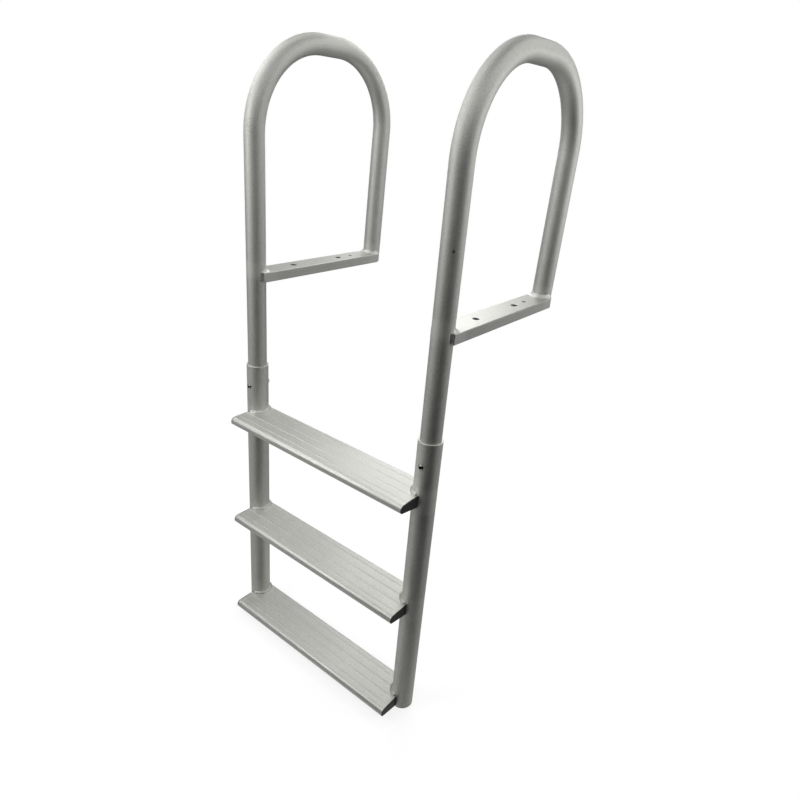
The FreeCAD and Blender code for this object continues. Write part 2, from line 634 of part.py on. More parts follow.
# Rail bolt: domed head with a six-sided socket at the front, shank through both tubes
def make_rail_bolt(side):
    body = new_body("%s_rail_bolt" % side, x=rail_x(side), z="-Sizes.bolt_drop")
    sketch = new_sketch(body, "HalfOutline", "YZ_Plane")
    crown = "-(%s + Sizes.bolt_head_height)" % RAIL_R
    tip = "(%s + Sizes.nut_height + Sizes.thread_end)" % RAIL_R
    seat_x = value("-%s" % RAIL_R)
    tip_x = value(tip)
    height = value("Sizes.bolt_head_height")
    rim = value("Sizes.bolt_head_diameter / 2")
    shank = value("Sizes.bolt_diameter / 2")
    dome = (height ** 2 + rim ** 2) / (2 * height)

    def point(x, y):
        return FreeCAD.Vector(x, y, 0)

    ball = Part.Circle(point(seat_x - height + dome, 0), FreeCAD.Vector(0, 0, 1), dome)
    face = sketch.addGeometry(Part.ArcOfCircle(ball, math.pi - math.asin(rim / dome), math.pi), False)
    corners = [point(seat_x, rim), point(seat_x, shank), point(tip_x, shank), point(tip_x, 0),
               point(seat_x - height, 0)]
    lines = [
        sketch.addGeometry(Part.LineSegment(start, end), False)
        for start, end in zip(corners, corners[1:])
    ]
    rule = Sketcher.Constraint
    sketch.addConstraint(rule("Coincident", face, 1, lines[0], 1))
    sketch.addConstraint(rule("Coincident", face, 2, lines[3], 2))
    for first, second in zip(lines, lines[1:]):
        sketch.addConstraint(rule("Coincident", first, 2, second, 1))
    for line in (lines[0], lines[2]):
        sketch.addConstraint(rule("Vertical", line))
    for line in (lines[1], lines[3]):
        sketch.addConstraint(rule("Horizontal", line))
    sketch.addConstraint(rule("PointOnObject", lines[3], 1, -1))
    sketch.addConstraint(rule("PointOnObject", face, 3, -1))
    drive(sketch, "DistanceX", -1, 1, lines[0], 1, to="-%s" % RAIL_R)
    drive(sketch, "DistanceY", -1, 1, lines[0], 1, to="Sizes.bolt_head_diameter / 2")
    drive(sketch, "DistanceY", -1, 1, lines[0], 2, to="Sizes.bolt_diameter / 2")
    drive(sketch, "DistanceX", -1, 1, lines[3], 2, to=crown)
    drive(sketch, "DistanceX", -1, 1, lines[1], 2, to=tip)
    revolve(body, sketch, "H_Axis", name="Bolt")
    hexagon(body, "Subtractive", "Socket", "Sizes.socket_across_flats", "Sizes.socket_depth",
            ("0", crown, "0"), FreeCAD.Vector(0, 1, 0))
    return body


# Nut on the back of the side rail, with the corners of its outer face broken
def make_rail_nut(side):
    body = new_body("%s_rail_nut" % side, x=rail_x(side), y="%s + %s" % (LEG_Y, RAIL_R),
                    z="-Sizes.bolt_drop")
    seat = ("0", "0", "0")
    backwards = FreeCAD.Vector(0, 1, 0)
    hexagon(body, "Additive", "Hexagon", "Sizes.nut_across_flats", "Sizes.nut_height", seat, backwards)
    drill(body, "Bore", "Sizes.bolt_diameter / 2", "Sizes.nut_height", seat, backwards)
    corner = new_sketch(body, "CornerOutline", "YZ_Plane")
    rim = "Sizes.nut_across_flats"
    slant = "(%s - Sizes.nut_face_radius) * tan(Sizes.nut_chamfer * 1 deg)" % rim
    polygon(corner, [
        ("Sizes.nut_height", "Sizes.nut_face_radius"),
        ("Sizes.nut_height", rim),
        ("Sizes.nut_height - %s" % slant, rim),
    ])
    groove = body.newObject("PartDesign::Groove", "Corners")
    groove.Profile = corner
    groove.ReferenceAxis = (corner, ["H_Axis"])
    body.Tip = groove
    return body


# Moulded plug in the side rail's lower end
def make_rail_plug(side):
    body = new_body("%s_rail_plug" % side, x=rail_x(side), z="-%s" % RAIL_END_DROP)
    disc = new_sketch(body, "FlangeOutline", "XY_Plane")
    circle(disc, RAIL_R)
    pad(body, disc, "Sizes.plug_flange", reverse=True, name="Flange")
    ring = new_sketch(body, "PlugOutline", "XY_Plane")
    fit = "%s - Sizes.plug_clearance" % RAIL_BORE_R
    circle(ring, fit)
    circle(ring, "%s - Sizes.plug_wall" % fit)
    pad(body, ring, "Sizes.plug_length", name="Plug")
    return body


def build():
    parts = []
    for side in SIDES:
        make_handrail(side)
        make_side_rail(side)
        make_mounting_bar(side)
        make_bar_welds(side)
        make_rail_bolt(side)
        make_rail_nut(side)
        make_rail_plug(side)
    for index in range(len(TREADS)):
        make_tread(index)
        for side in SIDES:
            make_cap(index, side)
            make_tread_welds(index, side)
    doc.recompute()
    for thing in doc.Objects:
        if "Invalid" in thing.State or "Error" in thing.State:
            raise RuntimeError("%s failed: %s" % (thing.Label, thing.State))
        if thing.TypeId == "PartDesign::Body":
            parts.append(thing)
    return parts


def write(parts):
    os.makedirs("parts", exist_ok=True)
    for part in parts:
        shape = part.Shape
        if shape.isNull() or not shape.isValid() or not shape.Solids:
            raise RuntimeError("%s has no valid solid" % part.Label)
        print("%-34s %d solid  %10.1f mm3" % (part.Label, len(shape.Solids), shape.Volume))
    for part in parts:
        part.Shape.exportStep("parts/%s.step" % part.Label)


write(build())
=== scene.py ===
import math

import bmesh
import bpy
from mathutils import Matrix, Vector


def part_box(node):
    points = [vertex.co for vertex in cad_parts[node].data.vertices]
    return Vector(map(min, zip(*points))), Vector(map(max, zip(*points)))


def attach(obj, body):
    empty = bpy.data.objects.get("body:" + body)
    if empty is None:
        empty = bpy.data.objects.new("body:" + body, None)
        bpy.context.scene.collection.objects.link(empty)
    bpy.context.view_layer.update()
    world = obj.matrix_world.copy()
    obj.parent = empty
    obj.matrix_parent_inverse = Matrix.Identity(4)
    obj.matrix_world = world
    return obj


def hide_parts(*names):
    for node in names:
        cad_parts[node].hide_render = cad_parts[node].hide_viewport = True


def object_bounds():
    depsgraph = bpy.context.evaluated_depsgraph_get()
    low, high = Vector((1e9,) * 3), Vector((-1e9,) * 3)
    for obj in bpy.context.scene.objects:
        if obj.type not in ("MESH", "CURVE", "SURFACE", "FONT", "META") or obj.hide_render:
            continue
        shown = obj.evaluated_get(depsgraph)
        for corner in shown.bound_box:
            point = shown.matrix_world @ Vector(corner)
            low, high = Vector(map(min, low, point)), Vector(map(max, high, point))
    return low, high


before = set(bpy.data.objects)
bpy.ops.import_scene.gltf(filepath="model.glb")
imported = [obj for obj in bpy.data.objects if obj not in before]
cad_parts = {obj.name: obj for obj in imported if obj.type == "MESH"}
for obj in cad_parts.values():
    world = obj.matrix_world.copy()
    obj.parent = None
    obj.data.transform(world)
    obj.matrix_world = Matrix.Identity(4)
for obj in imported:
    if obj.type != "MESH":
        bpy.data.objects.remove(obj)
cad_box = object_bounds()

# Metres, and degrees where an angle is written down. +Y is the dock, -Y the water, and Z = 0 the
# top of the dock.
SIDES = ("left", "right")
TREADS = ("top", "middle", "bottom")


# Places and sizes read from the frame
def low_of(node):
    return Vector(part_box(node)[0])


def high_of(node):
    return Vector(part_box(node)[1])


def middle_of(node):
    return (low_of(node) + high_of(node)) / 2


RAIL = {side: middle_of("%s_side_rail" % side) for side in SIDES}
RAIL_RADIUS = high_of("right_side_rail").x - RAIL["right"].x
TUBE_RADIUS = high_of("right_handrail").x - RAIL["right"].x
RAIL_RIM = high_of("left_side_rail").z
BAR_TOP = high_of("left_mounting_bar").z
BAR_SIDE = high_of("left_mounting_bar").x
TREAD_TOP = [low_of("%s_tread_left_upper_weld" % tread).z for tread in TREADS]
TREAD_UNDER = [high_of("%s_tread_left_lower_weld" % tread).z for tread in TREADS]
MID_SPACING = (RAIL["left"].x + RAIL["right"].x) / 2
# The handrail's centre line: its top, its two bends' radii and middles, and how the back leg leans
LOOP_TOP = high_of("left_handrail").z - TUBE_RADIUS
FRONT_BEND_RADIUS = 0.1640
BACK_BEND_RADIUS = 0.1405
FRONT_BEND = RAIL["left"].y + FRONT_BEND_RADIUS
BACK_BEND = high_of("left_handrail").y - TUBE_RADIUS - BACK_BEND_RADIUS
BACK_LEG_SLOPE = math.tan(math.radians(2.2))
LOW = Vector(cad_box[0])
CENTRE = (LOW + Vector(cad_box[1])) / 2


# A value inside a node tree: arithmetic on it adds Math nodes
class Wire:
    def __init__(self, tree, socket_shade):
        self.tree = tree
        self.socket_shade = socket_shade

    def math(self, operation, *operands):
        return self.tree.node("ShaderNodeMath", {"operation": operation}, dict(enumerate(operands)))

    def __add__(self, other):
        return self.math("ADD", self, other)

    def __radd__(self, other):
        return self.math("ADD", other, self)

    def __sub__(self, other):
        return self.math("SUBTRACT", self, other)

    def __rsub__(self, other):
        return self.math("SUBTRACT", other, self)

    def __mul__(self, other):
        return self.math("MULTIPLY", self, other)

    def __truediv__(self, other):
        return self.math("DIVIDE", self, other)

    def __gt__(self, other):
        return self.math("GREATER_THAN", self, other)

    def __abs__(self):
        return self.math("ABSOLUTE", self)

    def sine(self):
        return self.math("SINE", self)

    def cosine(self):
        return self.math("COSINE", self)

    def root(self):
        return self.math("SQRT", self)

    def power(self, exponent):
        return self.math("POWER", self, exponent)

    def least(self, other):
        return self.math("MINIMUM", self, other)

    def most(self, other):
        return self.math("MAXIMUM", self, other)


# A node tree, for a material or for geometry: every node comes from node()
class Tree:
    def __init__(self, node_tree):
        self.node_tree = node_tree

    def node(self, kind, settings=None, sockets=None, output=0):
        made = self.node_tree.nodes.new(kind)
        for name, setting in (settings or {}).items():
            setattr(made, name, setting)
        for key, given in (sockets or {}).items():
            if isinstance(given, Wire):
                self.node_tree.links.new(given.socket_shade, made.inputs[key])
            else:
                made.inputs[key].default_value = given
        if not made.outputs:
            return None
        if isinstance(output, tuple):
            return [Wire(self, made.outputs[name]) for name in output]
        return Wire(self, made.outputs[output])

    def point(self, x, y, z):
        return self.node("ShaderNodeCombineXYZ", None, {"X": x, "Y": y, "Z": z})

    def parts(self, vector):
        return self.node("ShaderNodeSeparateXYZ", None, {0: vector}, ("X", "Y", "Z"))

    def scaled(self, vector, factor):
        return self.node("ShaderNodeVectorMath", {"operation": "SCALE"}, {0: vector, "Scale": factor})

    def sum(self, *vectors):
        total = vectors[0]
        for vector in vectors[1:]:
            total = self.node("ShaderNodeVectorMath", {"operation": "ADD"}, {0: total, 1: vector})
        return total

    def between(self, first, second, share):
        return self.sum(self.scaled(first, 1 - share), self.scaled(second, share))

    # 0 below the first limit, 1 above the second, and a smooth rise between them
    def step(self, value, first, second):
        return self.node("ShaderNodeMapRange", {"interpolation_type": "SMOOTHSTEP"},
                         {"Value": value, "From Min": first, "From Max": second})


class Finish(Tree):
    def __init__(self, name):
        self.material = bpy.data.materials.new(name)
        self.material.use_nodes = True
        super().__init__(self.material.node_tree)
        self.node_tree.nodes.clear()
        self.place = self.node("ShaderNodeTexCoord", output="Object")
        self.x, self.y, self.z = self.parts(self.place)

    # Noise about 0. Its scale counts cells per metre where place is in metres.
    def noise(self, place, scale, detail=2.0):
        sockets = {"Vector": place, "Scale": scale, "Detail": detail}
        return self.node("ShaderNodeTexNoise", None, sockets) - 0.5

    def blend(self, share, first, second):
        return self.node("ShaderNodeMix", {"data_type": "RGBA"}, {0: share, 6: first, 7: second}, 2)

    def relief(self, height, depth):
        return self.node("ShaderNodeBump", None, {"Height": height, "Distance": depth})

    # x from the nearer side's rail axis
    def across(self):
        return self.x - (self.x > MID_SPACING) * RAIL["right"].x

    # 1 within a band round the nearest of some heights, 0 beyond its reach
    def near_heights(self, heights, reach):
        nearest = None
        for height in heights:
            gap = abs(self.z - height)
            nearest = gap if nearest is None else nearest.least(gap)
        return 1 - self.step(nearest, reach * 0.35, reach)

    def close(self, surface):
        self.node("ShaderNodeOutputMaterial", None, {"Surface": surface})
        return self.material


def grey(level, warmth=0.0):
    return (level, level, level * (1 - warmth), 1)


# Satin aluminium, bead blasted. Die lines keep to line_place, in which the third axis runs along
# the piece. Wash is the dull pale band that the cleaned weld leaves, and polish a face rubbed by hands
# or feet; below zero it darkens a face as painted shade. Stain darkens spots: real marks, and painted shade
# in holes.
LINE_PITCH = 0.0031
LINE_LENGTH = 0.17
METAL_WARMTH = 0.045
TONE_SPREAD = 0.13
STAIN_AND_SHADE_LEVEL = 0.06
BLAST_DEPTH = 0.00005


def satin_aluminium(finish, line_place, level, roughness, wash, polish_and_shade, stain_and_shade=None):
    die_lines = finish.noise(line_place, 1.0)
    broad_lines = finish.noise(line_place, 0.21, 1.0)
    clouds = finish.noise(finish.place, 8.0, 3.0)
    blotches = finish.noise(finish.place, 70.0)
    specks = finish.noise(finish.place, 430.0)
    grain = finish.noise(finish.place, 1500.0)
    tone = 0.5 + die_lines * 0.30 + broad_lines * 0.35 + clouds * 0.50 + blotches * 0.20
    tone = tone + specks * 1.60 + grain * 0.40 + wash * 0.45 + polish_and_shade * 0.25
    darkest = grey(level * (1 - TONE_SPREAD), METAL_WARMTH)
    palest = grey(level * (1 + TONE_SPREAD), METAL_WARMTH)
    colour = finish.blend(tone, darkest, palest)
    # The stain colour covers real marks and also painted shade in and round holes
    if stain_and_shade is not None:
        colour = finish.blend(stain_and_shade, colour, grey(STAIN_AND_SHADE_LEVEL))
    rough = roughness + die_lines * 0.05 + clouds * 0.10 + blotches * 0.06 + wash * 0.07 - polish_and_shade * 0.09
    height = grain * 0.6 + specks * 0.5 + die_lines * 0.8 + blotches * 0.8
    surface = finish.node("ShaderNodeBsdfPrincipled", None, {
        "Base Color": colour, "Metallic": 1.0, "Roughness": rough,
        "Normal": finish.relief(height, depth=BLAST_DEPTH)})
    return finish.close(surface)


# The vent hole in each front leg, turned outwards from the front, is darkened in and round it as painted
# shade
VENT_HEIGHT = 0.148
VENT_TURN = math.radians(41)
VENT_RADIUS = 0.0015


def vent_shade(finish):
    outwards = (finish.x > MID_SPACING) * 2 - 1
    aside = finish.across() * outwards - TUBE_RADIUS * math.sin(VENT_TURN)
    behind = finish.y - RAIL["left"].y + TUBE_RADIUS * math.cos(VENT_TURN)
    above = finish.z - VENT_HEIGHT
    from_vent = (aside * aside + behind * behind + above * above).root()
    return 1 - finish.step(from_vent, VENT_RADIUS + 0.0001, VENT_RADIUS + 0.0012)


# The bender's jaw left a row of nicks on the front of the left tube, where the bend starts. The
# noise that breaks them up has its cells counted per metre.
JAW_HEIGHT = 0.280
JAW_ASIDE = 0.007
JAW_IN_FRONT = 0.010
NICKS_ACROSS = 110
NICKS_UP = 420


def jaw_marks(finish):
    near = 1 - finish.step(abs(finish.z - JAW_HEIGHT), 0.012, 0.021)
    near = near * (1 - finish.step(abs(finish.x - JAW_ASIDE), 0.004, 0.008))
    near = near * (RAIL["left"].y - finish.y > JAW_IN_FRONT)
    place = finish.point(finish.x * NICKS_ACROSS, finish.y * NICKS_ACROSS, finish.z * NICKS_UP)
    return near * finish.step(finish.noise(place, 1.0, 1.0), 0.02, 0.12)


# The lines follow the bent tube: across it, out from its centre line, and along it
def handrail_finish():
    finish = Finish("SatinHandrailTube")
    at_back = finish.y > (FRONT_BEND + BACK_BEND) / 2
    radius = FRONT_BEND_RADIUS + at_back * (BACK_BEND_RADIUS - FRONT_BEND_RADIUS)
    over = (finish.z - LOOP_TOP + radius).most(0.0)
    under = (LOOP_TOP - radius - finish.z).most(0.0)
    spine = finish.y.most(FRONT_BEND).least(BACK_BEND)
    beside = finish.y - spine + under * BACK_LEG_SLOPE * (finish.y > BACK_BEND)
    outward = (beside * beside + over * over).root() - radius
    lines = finish.point(finish.across() / LINE_PITCH, outward / LINE_PITCH,
                         (finish.z + finish.y) / LINE_LENGTH)
    grip = finish.step(finish.z, LOOP_TOP - FRONT_BEND_RADIUS, LOOP_TOP)
    wash = finish.near_heights([BAR_TOP + 0.006], reach=0.022)
    # The darkening at the vent hole is painted shade; the jaw's nicks are real marks
    return satin_aluminium(finish, lines, level=0.69, roughness=0.65, wash=wash, polish_and_shade=grip * 0.5,
                           stain_and_shade=vent_shade(finish).most(jaw_marks(finish) * 0.2))


def side_rail_finish():
    finish = Finish("SatinSideRail")
    lines = finish.point(finish.across() / LINE_PITCH, finish.y / LINE_PITCH, finish.z / LINE_LENGTH)
    wash = finish.near_heights(TREAD_TOP + TREAD_UNDER, reach=0.020)
    rim = finish.near_heights([RAIL_RIM], reach=0.004)
    # The rail's level is set above the other pieces' to brighten it, as painted light
    return satin_aluminium(finish, lines, level=0.77, roughness=0.60, wash=wash, polish_and_shade=rim)


# The bar's long edges are worn over this width
BAR_WORN_EDGE = 0.0025


def mounting_bar_finish():
    finish = Finish("SatinMountingBar")
    lines = finish.point(finish.across() / LINE_PITCH, finish.z / LINE_PITCH, finish.y / LINE_LENGTH)
    edge = finish.step(abs(finish.across()), BAR_SIDE - BAR_WORN_EDGE, BAR_SIDE)
    foot = high_of("left_back_leg_weld").y
    from_legs = abs(finish.y - RAIL["left"].y).least(abs(finish.y - foot))
    wash = 1 - finish.step(from_legs, TUBE_RADIUS + 0.006, TUBE_RADIUS + 0.020)
    # The bar's level is set below the other pieces' to dim it, as painted shade
    return satin_aluminium(finish, lines, level=0.585, roughness=0.46, wash=wash, polish_and_shade=edge * 0.6)


# Four low ribs run along the tread, the first one in front of the rails' axis, and painted shade lies
# along the sides of each, to dull the bright lines that they reflect. Feet rub the middle of the
# tread, less and less outwards. Scuffs are streaks along the tread, their cells counted per metre.
FIRST_RIB = -0.0502
RIB_PITCH = 0.0205
RIB_COUNT = 4
RIB_SIDE = 0.0009
TRODDEN_REACH = (0.06, 0.17)
SCUFFS_ALONG = 30
SCUFFS_ACROSS = 520


def tread_finish():
    finish = Finish("SatinTread")
    lines = finish.point(finish.y / LINE_PITCH, finish.z / LINE_PITCH, finish.x / LINE_LENGTH)
    across = finish.across()
    behind = finish.y - RAIL["left"].y
    from_rail = (across * across + behind * behind).root()
    wash = 1 - finish.step(from_rail, RAIL_RADIUS + 0.004, RAIL_RADIUS + 0.018)
    trodden = 1 - finish.step(abs(finish.x - MID_SPACING), *TRODDEN_REACH)
    from_rib = abs(behind - FIRST_RIB)
    for count in range(1, RIB_COUNT):
        from_rib = from_rib.least(abs(behind - (FIRST_RIB + count * RIB_PITCH)))
    # Painted shade along each rib's sides: darker colour and higher roughness
    rib_side_shade = 1 - finish.step(abs(from_rib - RIB_SIDE), RIB_SIDE / 3, RIB_SIDE)
    place = finish.point(finish.x * SCUFFS_ALONG, finish.y * SCUFFS_ACROSS, finish.z * SCUFFS_ACROSS)
    scuffs = finish.step(finish.noise(place, 1.0), 0.10, 0.22)
    return satin_aluminium(finish, lines, level=0.72, roughness=0.53, wash=wash,
                           polish_and_shade=trodden * 0.35 + scuffs * 0.5 - rib_side_shade * 0.4)


def weld_finish():
    finish = Finish("WeldMetal")
    oxide = finish.noise(finish.place, 120.0)
    specks = finish.noise(finish.place, 700.0)
    tone = 0.5 + oxide * 0.9 + specks * 0.5
    colour = finish.blend(tone, grey(0.64, 0.04), grey(0.80, 0.03))
    surface = finish.node("ShaderNodeBsdfPrincipled", None, {
        "Base Color": colour, "Metallic": 1.0, "Roughness": 0.54 + oxide * 0.16 + specks * 0.12,
        "Normal": finish.relief(specks + oxide, depth=0.00009)})
    return finish.close(surface)


# The bolt's head is turned, so its rings run round its axis, and its socket is coloured near black as
# painted shade in the recess
RINGS_PER_METRE = 3500
SOCKET_RADIUS = 0.0024
SOCKET_RIM = 0.0034


def bolt_finish():
    finish = Finish("TurnedStainless")
    across = finish.across()
    level = finish.z - middle_of("left_rail_bolt").z
    ring = (across * across + level * level).root()
    turned = finish.noise(finish.point(ring * RINGS_PER_METRE, 0.0, 0.0), 1.0, 1.0)
    tarnish = finish.noise(finish.place, 260.0)
    colour = finish.blend(0.5 + turned * 0.6 + tarnish * 0.8, grey(0.30, 0.03), grey(0.46, 0.03))
    on_head = RAIL["left"].y - finish.y > RAIL_RADIUS * 0.98
    # Painted shade: the socket's recess is coloured near black
    socket_shade = on_head * (1 - finish.step(ring, SOCKET_RADIUS, SOCKET_RIM))
    colour = finish.blend(socket_shade, colour, grey(0.03))
    surface = finish.node("ShaderNodeBsdfPrincipled", None, {
        "Base Color": colour, "Metallic": 1.0, "Roughness": 0.30 + tarnish * 0.16,
        "Normal": finish.relief(turned * 0.7 + tarnish * 0.3, depth=0.00003)})
    return finish.close(surface)


def moulded_plastic_finish():
    finish = Finish("MouldedPlastic")
    grain = finish.noise(finish.place, 1300.0)
    chalk = finish.noise(finish.place, 55.0, 4.0)
    colour = finish.blend(0.5 + chalk * 1.2 + grain * 0.3, grey(0.012), grey(0.026, -0.04))
    surface = finish.node("ShaderNodeBsdfPrincipled", None, {
        "Base Color": colour, "Roughness": 0.50 + chalk * 0.16 + grain * 0.08, "Specular IOR Level": 0.3,
        "Normal": finish.relief(grain + chalk * 0.5, depth=0.00007)})
    return finish.close(surface)


HANDRAIL_FINISH = handrail_finish()
SIDE_RAIL_FINISH = side_rail_finish()
BAR_FINISH = mounting_bar_finish()
TREAD_FINISH = tread_finish()
WELD_FINISH = weld_finish()
BOLT_FINISH = bolt_finish()
PLASTIC_FINISH = moulded_plastic_finish()


# The frame's own pieces keep their shape and get their finish
def dress(node, finish):
    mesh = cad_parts[node].data
    mesh.materials.clear()
    mesh.materials.append(finish)


def dress_frame():
    for side in SIDES:
        dress("%s_handrail" % side, HANDRAIL_FINISH)
        dress("%s_side_rail" % side, SIDE_RAIL_FINISH)
        dress("%s_mounting_bar" % side, BAR_FINISH)
        dress("%s_rail_bolt" % side, BOLT_FINISH)
        dress("%s_rail_nut" % side, BOLT_FINISH)
        dress("%s_rail_plug" % side, PLASTIC_FINISH)
        for tread in TREADS:
            dress("%s_tread_%s_cap" % (tread, side), PLASTIC_FINISH)
    for tread in TREADS:
        dress("%s_tread" % tread, TREAD_FINISH)


# Geometry trees: named inputs, set on the modifier by identifier
class Shaper(Tree):
    def __init__(self, name, inputs):
        super().__init__(bpy.data.node_groups.new(name, "GeometryNodeTree"))
        interface = self.node_tree.interface
        for title, kind in inputs.items():
            interface.new_socket(name=title, in_out="INPUT", socket_type="NodeSocket" + kind)
        interface.new_socket(name="Geometry", in_out="OUTPUT", socket_type="NodeSocketGeometry")
        self.entry = self.node_tree.nodes.new("NodeGroupInput")

    def given(self, title):
        return Wire(self, self.entry.outputs[title])

    def close(self, geometry, finish):
        smooth = self.node("GeometryNodeSetShadeSmooth", None, {"Geometry": geometry})
        whole = self.node("GeometryNodeRealizeInstances", None, {"Geometry": smooth})
        dressed = self.node("GeometryNodeSetMaterial", None, {"Geometry": whole, "Material": finish})
        self.node("NodeGroupOutput", None, {"Geometry": dressed})

    def shape(self, **values):
        carrier = bpy.data.objects.new("Carrier", bpy.data.meshes.new("Carrier"))
        bpy.context.scene.collection.objects.link(carrier)
        modifier = carrier.modifiers.new("Shape", "NODES")
        modifier.node_group = self.node_tree
        for item in self.node_tree.interface.items_tree:
            if item.in_out == "INPUT":
                modifier[item.identifier] = values[item.name.replace(" ", "_").lower()]
        bpy.context.view_layer.update()
        depsgraph = bpy.context.evaluated_depsgraph_get()
        plain = bpy.data.meshes.new_from_object(carrier.evaluated_get(depsgraph))
        carrier.modifiers.remove(modifier)
        bpy.data.objects.remove(carrier)
        return plain


# One piece from closed meshes, each turned so that its faces point outwards
def add_piece(name, meshes, stands_for=None):
    whole = bmesh.new()
    for mesh in meshes:
        form = bmesh.new()
        form.from_mesh(mesh)
        if form.calc_volume(signed=True) < 0:
            bmesh.ops.reverse_faces(form, faces=form.faces)
        form.to_mesh(mesh)
        form.free()
        whole.from_mesh(mesh)
    joined = meshes[0]
    whole.to_mesh(joined)
    whole.free()
    joined.name = name
    piece = bpy.data.objects.new(name, joined)
    bpy.context.scene.collection.objects.link(piece)
    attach(piece, "root")
    if stands_for:
        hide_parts(stands_for)


# A weld's cross-section is a loop: FACE_STEPS over its face, from one toe to the other, then back
# through its hidden root. The grid's u runs along the weld and its v round that loop.
FACE_STEPS = 10
ROOT_STEPS = 2
ROOT_DEPTH = 0.0003
MERGE_DISTANCE = 0.00001
# The torch's wander swells the bead and shifts its ripples
WANDERS_PER_METRE = 90
WANDER_OF_SEED = 7.3
WANDER_SWELL = 0.22
WANDER_SHIFT = 1.4
CRESCENT_BOW = 2.6
CREST_SHARPNESS = 0.7
CREST_MIDDLE = 0.55
# A round weld's ripples rise at 45 degrees, out and up
LIFT_EACH_WAY = 0.7


class WeldShaper(Shaper):
    def __init__(self, name, inputs):
        super().__init__(name, dict(inputs, **{
            "Steps": "Int", "Ripple Pitch": "Float", "Ripple Height": "Float", "Taper": "Float",
            "Seed": "Float"}))
        self.grid = self.node("GeometryNodeMeshGrid", None, {
            "Size X": 1.0, "Size Y": 1.0, "Vertices X": self.given("Steps"),
            "Vertices Y": FACE_STEPS + ROOT_STEPS + 1})
        grid_x, grid_y, _ = self.parts(self.node("GeometryNodeInputPosition"))
        self.u = grid_x + 0.5
        share = FACE_STEPS / (FACE_STEPS + ROOT_STEPS)
        v = grid_y + 0.5
        self.face = (v / share).least(1.0)
        root = ((v - share) / (1 - share)).most(0.0) * 2
        self.inward = root.least(1.0)
        self.back = (root - 1).most(0.0)

    # Rounded ends, a slow wander of the torch, and stacked crescents that lean back towards both toes
    def run(self, length):
        travelled = self.u * length
        closing = 1 - (self.u.least(1 - self.u) * length / self.given("Taper")).least(1.0)
        self.taper = (1 - closing * closing).most(0.0).root()
        wander = self.node("ShaderNodeTexNoise", {"noise_dimensions": "1D"}, {
            "W": travelled * WANDERS_PER_METRE + self.given("Seed") * WANDER_OF_SEED,
            "Scale": 1.0, "Detail": 2.0}) - 0.5
        self.swell = self.taper * (0.97 + wander * WANDER_SWELL)
        bow = (self.face - 0.5) * (self.face - 0.5) * CRESCENT_BOW
        phase = travelled / self.given("Ripple Pitch") - bow + wander * WANDER_SHIFT
        crest = abs((phase * math.pi).sine()).power(CREST_SHARPNESS) - CREST_MIDDLE
        self.lift = crest * self.given("Ripple Height") * self.taper * (self.face * (1 - self.face) * 4)

    def finish(self, position):
        bent = self.node("GeometryNodeSetPosition", None, {"Geometry": self.grid, "Position": position})
        joined = self.node("GeometryNodeMergeByDistance", None,
                           {"Geometry": bent, "Distance": MERGE_DISTANCE})
        self.close(joined, WELD_FINISH)


# A bead round a tube that stands on a face: Foot is where the tube's axis meets the face, and the
# bead goes no further than Side from that axis
def round_weld_shaper():
    weld = WeldShaper("RoundWeld", {
        "Foot": "Vector", "Slope": "Float", "Tube Radius": "Float", "Leg": "Float", "Side": "Float",
        "Fullness": "Float", "Facing": "Float", "Turn": "Float", "Upward": "Float"})
    radius = weld.given("Tube Radius")
    leg = weld.given("Leg")
    turn = weld.given("Turn")
    weld.run(turn * (radius + leg / 2))
    angle = weld.given("Facing") + (weld.u - 0.5) * turn
    room = weld.given("Side") / abs(angle.cosine()).most(0.01) - radius
    width = (leg * weld.swell).least(room)
    height = leg * weld.swell
    depth = weld.taper * ROOT_DEPTH
    bulge = weld.face * (1 - weld.face) * 2 * weld.given("Fullness")
    bare = 1 - weld.face
    out = width * (bare * bare + bulge) - depth * weld.inward + (width + depth) * weld.back
    up = height * (weld.face * weld.face + bulge) - (height + depth) * weld.inward + depth * weld.back
    lift = weld.lift * LIFT_EACH_WAY
    reach = radius + out + lift
    rise = up + lift
    from_foot = weld.point(reach * angle.cosine(), reach * angle.sine() + rise * weld.given("Slope"),
                           rise * weld.given("Upward"))
    weld.finish(weld.sum(weld.given("Foot"), from_foot))
    return weld


# A straight bead between an edge and a leg, given by its edge, toe and root at its foot and at its head
def upright_weld_shaper():
    weld = WeldShaper("UprightWeld", {
        "Edge Foot": "Vector", "Edge Head": "Vector", "Toe Foot": "Vector", "Toe Head": "Vector",
        "Root Foot": "Vector", "Root Head": "Vector", "Length": "Float", "Fullness": "Float"})
    weld.run(weld.given("Length"))
    edge, toe, root = (weld.between(weld.given(line + " Foot"), weld.given(line + " Head"), weld.u)
                       for line in ("Edge", "Toe", "Root"))
    middle = weld.between(edge, toe, 0.5)
    from_root = weld.sum(middle, weld.scaled(root, -1.0))
    crown = weld.sum(middle, weld.scaled(from_root, weld.given("Fullness")))
    bare = 1 - weld.face
    loop = weld.sum(
        weld.scaled(edge, bare * bare + weld.back), weld.scaled(crown, weld.face * bare * 2),
        weld.scaled(toe, weld.face * weld.face - weld.inward), weld.scaled(root, weld.inward - weld.back))
    outwards = weld.node("ShaderNodeVectorMath", {"operation": "NORMALIZE"}, {0: from_root})
    weld.finish(weld.sum(weld.between(root, loop, weld.taper), weld.scaled(outwards, weld.lift)))
    return weld


